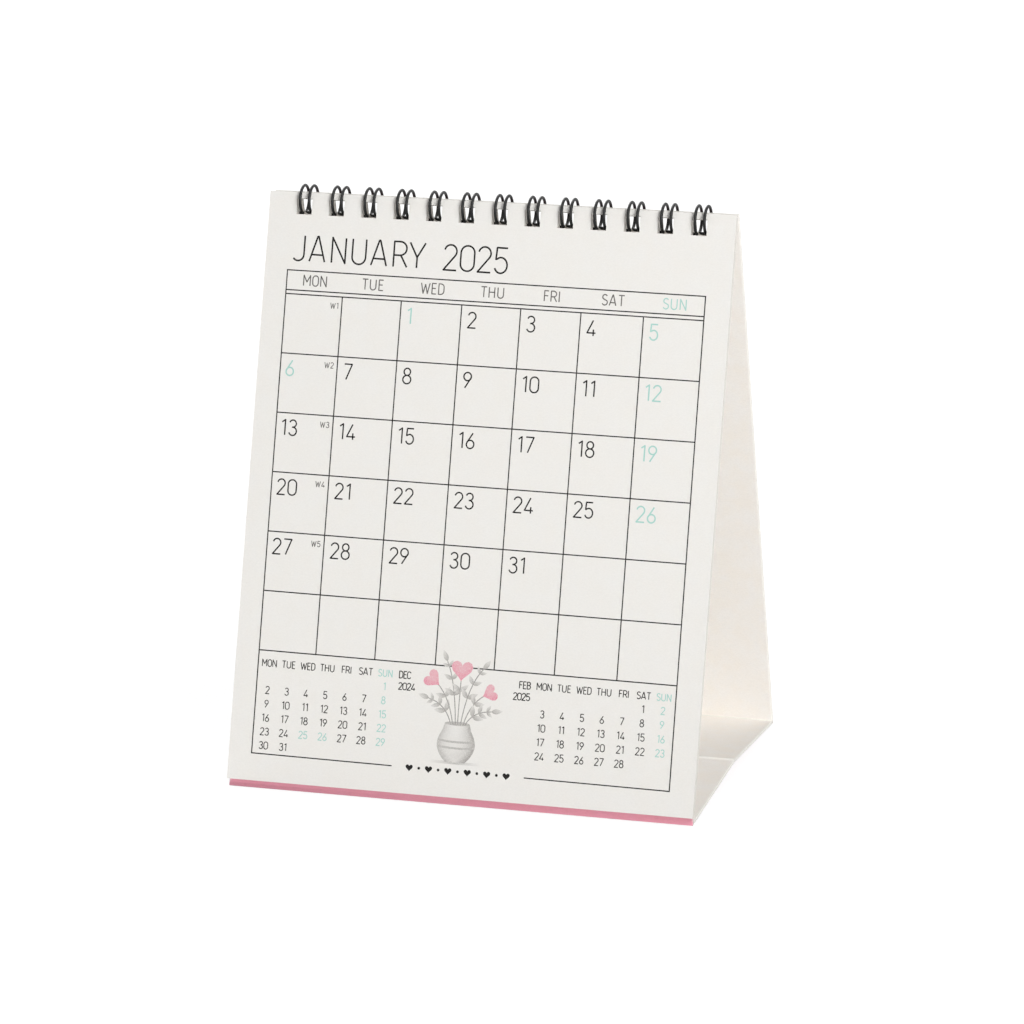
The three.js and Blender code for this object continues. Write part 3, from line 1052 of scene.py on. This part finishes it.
def printed_sheet(month):
    """All that is printed on a month's leaf."""
    sheet = Print()
    draw_grid(sheet)
    draw_border(sheet)
    draw_month(sheet, month)
    before, after = (month - 2) % 12 + 1, month % 12 + 1
    draw_small_month(sheet, YEAR - (month == 1), before, *BEFORE_PLACE)
    draw_small_month(sheet, YEAR + (month == 12), after, *AFTER_PLACE)
    draw_posy(sheet, month)
    return sheet


# Leaves

# The tint of a leaf's cut edges, which are a little darker than its faces
cut_paper = even([0.84, 0.83, 0.81, 1])
MERGE_DISTANCE = 1e-5


def with_outline(sheet):
    """Skews the print, and adds the leaf's outline and its holes as two more kinds of shape."""
    sheet.points = [(x, y - PRINT_SKEW * x) for x, y in sheet.points]
    half = LEAF_WIDTH / 2
    outline = [(-half, 0), (half, 0), (half, LEAF_HEIGHT), (-half, LEAF_HEIGHT)]
    sheet.polygon(outline, "outline")
    low = LEAF_HEIGHT - HOLE_MARGIN - HOLE_SIZE
    for x in HOLE_PLACES:
        left, right, high = x - HOLE_SIZE / 2, x + HOLE_SIZE / 2, low + HOLE_SIZE
        sheet.polygon([(left, low), (right, low), (right, high), (left, high)], "hole")
    return sheet


def triangulated(sheet):
    """Splits the leaf's face along every printed edge. Returns points, triangles and kinds.

    Where shapes overlap, the one that was drawn last shows.
    """
    points = [Vector(point) for point in sheet.points]
    places, _, triangles, _, _, sources = delaunay_2d_cdt(points, [], sheet.faces, 0, MERGE_DISTANCE)
    kept, kinds = [], []
    for triangle, source in zip(triangles, sources):
        over = [sheet.kinds[k] for k in sorted(source)]
        if "hole" in over:
            continue
        printed = [kind for kind in over if kind != "outline"]
        kept.append(list(triangle))
        kinds.append(printed[-1] if printed else PAPER_FACE)
    return places, kept, kinds


def corner_key(x, y, layer):
    """Names a corner of a leaf. The layer is 0 on its front face and 1 on its back."""
    return (round(x, 4), round(y, 4), layer)


def leaf_piece(index):
    """A month's leaf: one closed sheet whose print is part of its front face."""
    front = triangulated(with_outline(printed_sheet(index + 1)))
    back = triangulated(with_outline(Print()))
    deep = (index - len(MONTHS)) * LEAF_PITCH
    places, vertices, faces, kinds = [], [], [], []
    number_at = {}
    for layer, (points, triangles, face_kinds) in enumerate((front, back)):
        first = len(places)
        places += points
        layer_deep = deep + layer * LEAF_THICKNESS
        for k, point in enumerate(points):
            vertices.append(on_front(point.x, point.y + FOOT_MARGIN, layer_deep))
            number_at[corner_key(point.x, point.y, layer)] = first + k
        for triangle, kind in zip(triangles, face_kinds):
            corners = [first + k for k in triangle]
            faces.append(corners[::-1] if layer else corners)
            kinds.append(kind)
    border = with_outline(Print())
    for face in border.faces:
        corners = [border.points[k] for k in face]
        for a, b in zip(corners, corners[1:] + corners[:1]):
            keys = [corner_key(*a, 0), corner_key(*b, 0), corner_key(*b, 1), corner_key(*a, 1)]
            faces.append([number_at[key] for key in keys])
            kinds.append(cut_paper)
    face_materials = [PAPER_FACE if callable(kind) else kind for kind in kinds]
    made = outward(mesh_object(f"page_{MONTHS[index]}", vertices, faces, face_materials, page_materials))
    tint = made.data.color_attributes.new("tint", "FLOAT_COLOR", "CORNER")
    for face, kind in zip(made.data.polygons, kinds):
        for corner in face.loop_indices:
            if callable(kind):
                x, y = places[made.data.loops[corner].vertex_index]
                tint.data[corner].color = kind(x, y + PRINT_SKEW * x)
            else:
                tint.data[corner].color = WHITE
    return made


for index, month_name in enumerate(MONTHS):
    page = leaf_piece(index)
    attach(page, month_name)
    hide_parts(f"leaf_{month_name}")


# Stage

# The floor's brightness where it lights the object, and its shading and glow for the camera
FLOOR_BOUNCE = 0.8
FLOOR_SHADING, FLOOR_GLOW = 0.22, 0.865
FLOOR_HALF, FLOOR_DROP = 2000, 0.02
WORLD_LIGHT = 0.2


def floor_material():
    """White where the camera sees it, with a little of its own shading kept for the shadow."""
    made = Material("stage_white")
    tree = made.tree
    plain = made.add("BsdfDiffuse", {"Color": grey(FLOOR_BOUNCE)}).outputs[0]
    shaded = made.add("BsdfDiffuse", {"Color": grey(FLOOR_SHADING)}).outputs[0]
    glow = made.add("Emission", {"Color": WHITE, "Strength": FLOOR_GLOW}).outputs[0]
    seen = made.add("AddShader")
    tree.links.new(shaded, seen.inputs[0])
    tree.links.new(glow, seen.inputs[1])
    choice = made.add("MixShader")
    tree.links.new(made.add("LightPath").outputs["Is Camera Ray"], choice.inputs[0])
    tree.links.new(plain, choice.inputs[1])
    tree.links.new(seen.outputs[0], choice.inputs[2])
    output = tree.nodes["Material Output"]
    tree.links.new(choice.outputs[0], output.inputs["Surface"])
    tree.nodes.remove(made.shader)
    return made.material


floor_corners = [
    (-FLOOR_HALF, -FLOOR_HALF, -FLOOR_DROP),
    (FLOOR_HALF, -FLOOR_HALF, -FLOOR_DROP),
    (FLOOR_HALF, FLOOR_HALF, -FLOOR_DROP),
    (-FLOOR_HALF, FLOOR_HALF, -FLOOR_DROP),
]
floor = mesh_object("floor", floor_corners, [[0, 1, 2, 3]], [0], [floor_material()])

# The world: white where it is seen directly, in gloss or through glass, and a soft fill light
world = bpy.data.worlds.new("studio")
bpy.context.scene.world = world
world.use_nodes = True
world_nodes = world.node_tree
background = world_nodes.nodes["Background"]
background.inputs["Color"].default_value = WHITE
light_path = world_nodes.nodes.new("ShaderNodeLightPath")
seen = None
for output_name in ("Is Camera Ray", "Is Glossy Ray", "Is Transmission Ray"):
    if seen is None:
        seen = light_path.outputs[output_name]
    else:
        both = world_nodes.nodes.new("ShaderNodeMath")
        both.operation = "MAXIMUM"
        world_nodes.links.new(seen, both.inputs[0])
        world_nodes.links.new(light_path.outputs[output_name], both.inputs[1])
        seen = both.outputs[0]
strength = world_nodes.nodes.new("ShaderNodeMapRange")
strength.inputs["To Min"].default_value = WORLD_LIGHT
strength.inputs["To Max"].default_value = 1
world_nodes.links.new(seen, strength.inputs["Value"])
world_nodes.links.new(strength.outputs["Result"], background.inputs["Strength"])


def softbox(name, place, target, size, watts):
    """A square area light, with place and target in metres."""
    data = bpy.data.lights.new(name, "AREA")
    data.size = size
    data.energy = watts
    light = bpy.data.objects.new(name, data)
    bpy.context.scene.collection.objects.link(light)
    light.location = place
    light.rotation_euler = (Vector(target) - Vector(place)).to_track_quat("-Z", "Y").to_euler()


softbox("key", (2.25, -2.65, 0.6), (0, 0, 0.07), size=1.6, watts=82)
softbox("top", (1.2, -0.75, 1.75), (0, 0, 0.05), size=1, watts=20)
softbox("back", (-0.9, 1.5, 1.4), (0, 0, 0.07), size=1.2, watts=32)

# Camera, fitted to the photograph's view, with its sizes in metres and its lens in millimetres

AZIMUTH, ELEVATION, ROLL = (math.radians(a) for a in (16.2065, 15.0901, 0.2901))
DISTANCE = 1.2154
TARGET_HEIGHT, TARGET_RIGHT = 0.0640546, 0.001858
SENSOR, LENS = 36, 169.64
right = Vector((math.cos(AZIMUTH), math.sin(AZIMUTH), 0))
back = Vector((
    math.sin(AZIMUTH) * math.cos(ELEVATION),
    -math.cos(AZIMUTH) * math.cos(ELEVATION),
    math.sin(ELEVATION),
))
up = back.cross(right)
target = Vector((0, 0, TARGET_HEIGHT)) + right * TARGET_RIGHT
rolled_right = right * math.cos(ROLL) - up * math.sin(ROLL)
rolled_up = right * math.sin(ROLL) + up * math.cos(ROLL)
camera_data = bpy.data.cameras.new("camera")
camera_data.sensor_width = SENSOR
camera_data.lens = LENS
camera = bpy.data.objects.new("camera", camera_data)
bpy.context.scene.collection.objects.link(camera)
axes = Matrix((rolled_right, rolled_up, back)).transposed().to_4x4()
camera.matrix_world = Matrix.Translation(target + back * DISTANCE) @ axes
bpy.context.scene.camera = camera
bpy.context.scene.view_settings.view_transform = "Standard"
